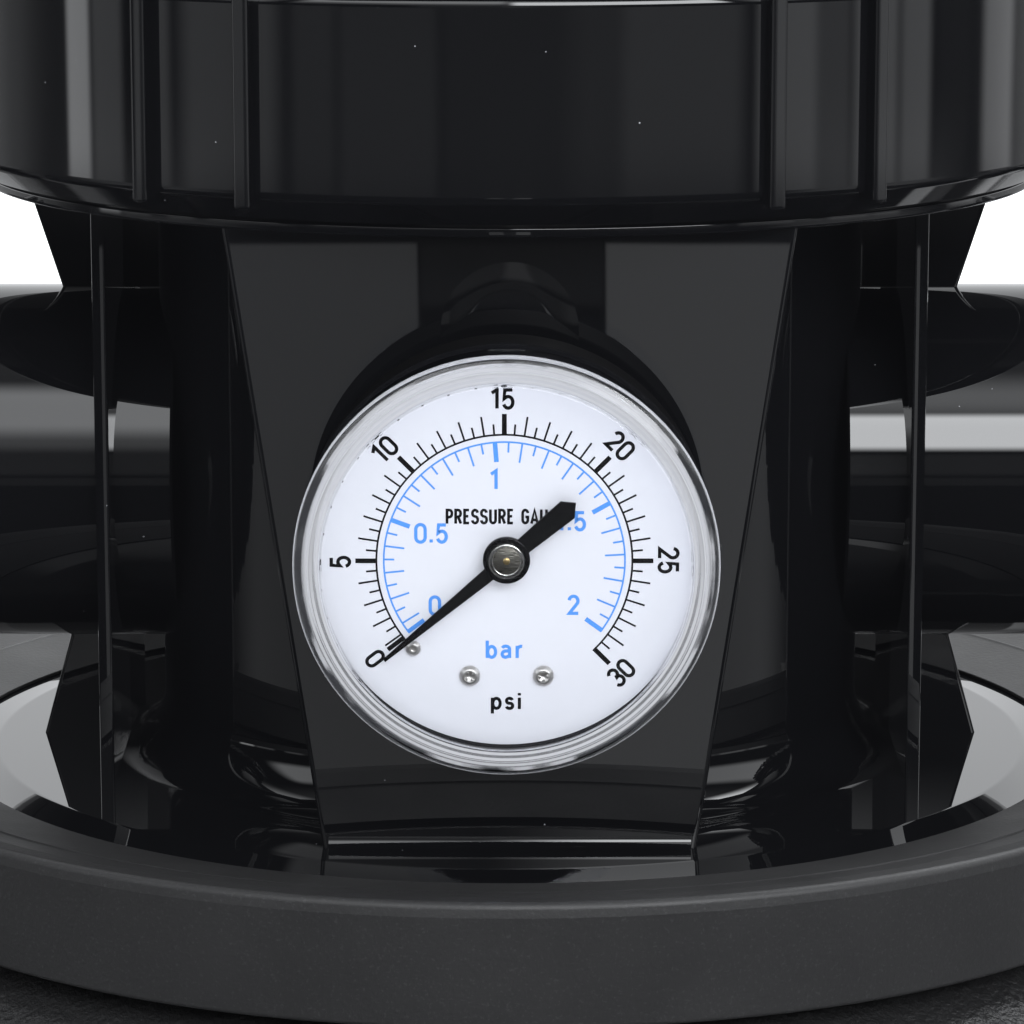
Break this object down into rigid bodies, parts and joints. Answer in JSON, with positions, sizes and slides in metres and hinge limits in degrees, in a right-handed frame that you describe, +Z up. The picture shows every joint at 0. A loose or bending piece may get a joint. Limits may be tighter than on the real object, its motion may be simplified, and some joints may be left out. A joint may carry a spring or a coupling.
{
  "type": "sand filter tank",
  "caption": "Floor-standing sand filter tank with clamp-on selector valve, lift-and-turn handle, hose unions, drain and a round pressure gauge.",
  "frame": {"origin": "centre of the foot's underside, on the floor", "axes": "+Z up along the tank and valve axis, -Y to the front where the gauge faces, +X to the return port"},
  "size_m": [0.35, 0.3839, 0.6339],
  "materials": {
    "tank_plastic": "rough",
    "clamp_plastic": "satin",
    "gloss_black": "gloss",
    "grey_plastic": "satin",
    "seal_rubber": "matte",
    "steel": "satin",
    "brass": "satin",
    "dial_white": "matte",
    "dial_black": "matte",
    "clear_plastic": "gloss",
    "plate_silver": "satin",
    "white_seal": "satin"
  },
  "bodies": {
    "tank": {"tank_shell": "tank_plastic", "tank_foot": "tank_plastic", "clamp_front": "clamp_plastic", "clamp_rear": "clamp_plastic", "drain_spigot": "clamp_plastic", "drain_locknut": "clamp_plastic", "drain_screen": "clamp_plastic", "valve_body": "gloss_black", "port_pipe_pump": "gloss_black", "port_pipe_return": "gloss_black", "port_pipe_waste": "gloss_black", "valve_cover": "gloss_black", "lock_collar": "gloss_black", "union_nut_pump": "gloss_black", "hose_tail_pump": "gloss_black", "union_nut_return": "gloss_black", "hose_tail_return": "gloss_black", "union_nut_waste": "gloss_black", "hose_tail_waste": "gloss_black", "gauge_case": "gloss_black", "standpipe": "grey_plastic", "lateral_hub": "grey_plastic", "laterals": "grey_plastic", "neck_seal": "seal_rubber", "drain_gasket": "seal_rubber", "standpipe_seal": "seal_rubber", "seat_gasket": "seal_rubber", "cover_seal": "seal_rubber", "union_seal_pump": "seal_rubber", "union_seal_return": "seal_rubber", "union_seal_waste": "seal_rubber", "lens_seal": "seal_rubber", "clamp_bolts": "steel", "clamp_nuts": "steel", "clamp_washers": "steel", "dial_screws": "steel", "stop_pin": "steel", "gauge_stem": "brass", "bourdon_tube": "brass", "movement_frame": "brass", "gauge_dial": "dial_white", "gauge_lens": "clear_plastic", "position_plate": "plate_silver", "gauge_seal": "white_seal"},
    "selector_sleeve": {"handle_washer": "white_seal", "rotor_spring": "steel", "spring_washer": "steel"},
    "rotor_group": {"rotor": "grey_plastic", "rotor_shaft": "grey_plastic", "shaft_seals": "seal_rubber", "handle_pin": "steel"},
    "handle_body": {"handle": "gloss_black"},
    "sector_body": {"sector_gear": "brass"},
    "link_body": {"bourdon_link": "brass"},
    "pointer_body": {"pointer": "dial_black", "pointer_spindle": "steel"},
    "drain_slider": {"drain_cap_washer": "seal_rubber"},
    "drain_cap_body": {"drain_cap": "clamp_plastic"}
  },
  "joints": [
    {"name": "selector_turn", "type": "hinge", "parent": "tank", "child": "selector_sleeve", "pos_m": [0, 0, 0.594], "axis": [0, 0, 1], "continuous": true},
    {"name": "rotor_lift", "type": "slide", "parent": "selector_sleeve", "child": "rotor_group", "axis": [0, 0, 1], "range_m": [0, 0.0039], "stiffness_N_per_m": 4000, "springref_m": -0.008, "deforming": ["rotor_spring"]},
    {"name": "handle_press", "type": "hinge", "parent": "rotor_group", "child": "handle_body", "pos_m": [0, 0, 0.615], "axis": [1, 0, 0], "range_deg": [0, 16]},
    {"name": "sector_swing", "type": "hinge", "parent": "tank", "child": "sector_body", "pos_m": [-0.0004, -0.08, 0.5011], "axis": [0, -1, 0], "range_deg": [0, 44.1], "stiffness_Nm_per_rad": 0.002, "springref_deg": -5.73, "deforming": ["bourdon_tube"]},
    {"name": "link_swing", "type": "hinge", "parent": "sector_body", "child": "link_body", "pos_m": [-0.0004, -0.081, 0.4955], "axis": [0, -1, 0], "range_deg": [-45, 0]},
    {"name": "pointer_turn", "type": "hinge", "parent": "tank", "child": "pointer_body", "pos_m": [-0.0004, -0.088, 0.5116], "axis": [0, -1, 0], "range_deg": [-265, 0]},
    {"name": "drain_slide", "type": "slide", "parent": "tank", "child": "drain_slider", "axis": [0, -1, 0], "range_m": [0, 0.009]},
    {"name": "drain_turn", "type": "hinge", "parent": "drain_slider", "child": "drain_cap_body", "pos_m": [0, -0.2, 0.12], "axis": [0, -1, 0], "range_deg": [0, 1081]}
  ],
  "couplings": [
    {"joint": "handle_press", "follows": "rotor_lift", "rad_per_m": 71.429},
    {"joint": "link_swing", "follows": "sector_swing", "ratio": -1},
    {"joint": "pointer_turn", "follows": "sector_swing", "ratio": -6},
    {"joint": "drain_turn", "follows": "drain_slide", "rad_per_m": 2094.4}
  ]
}
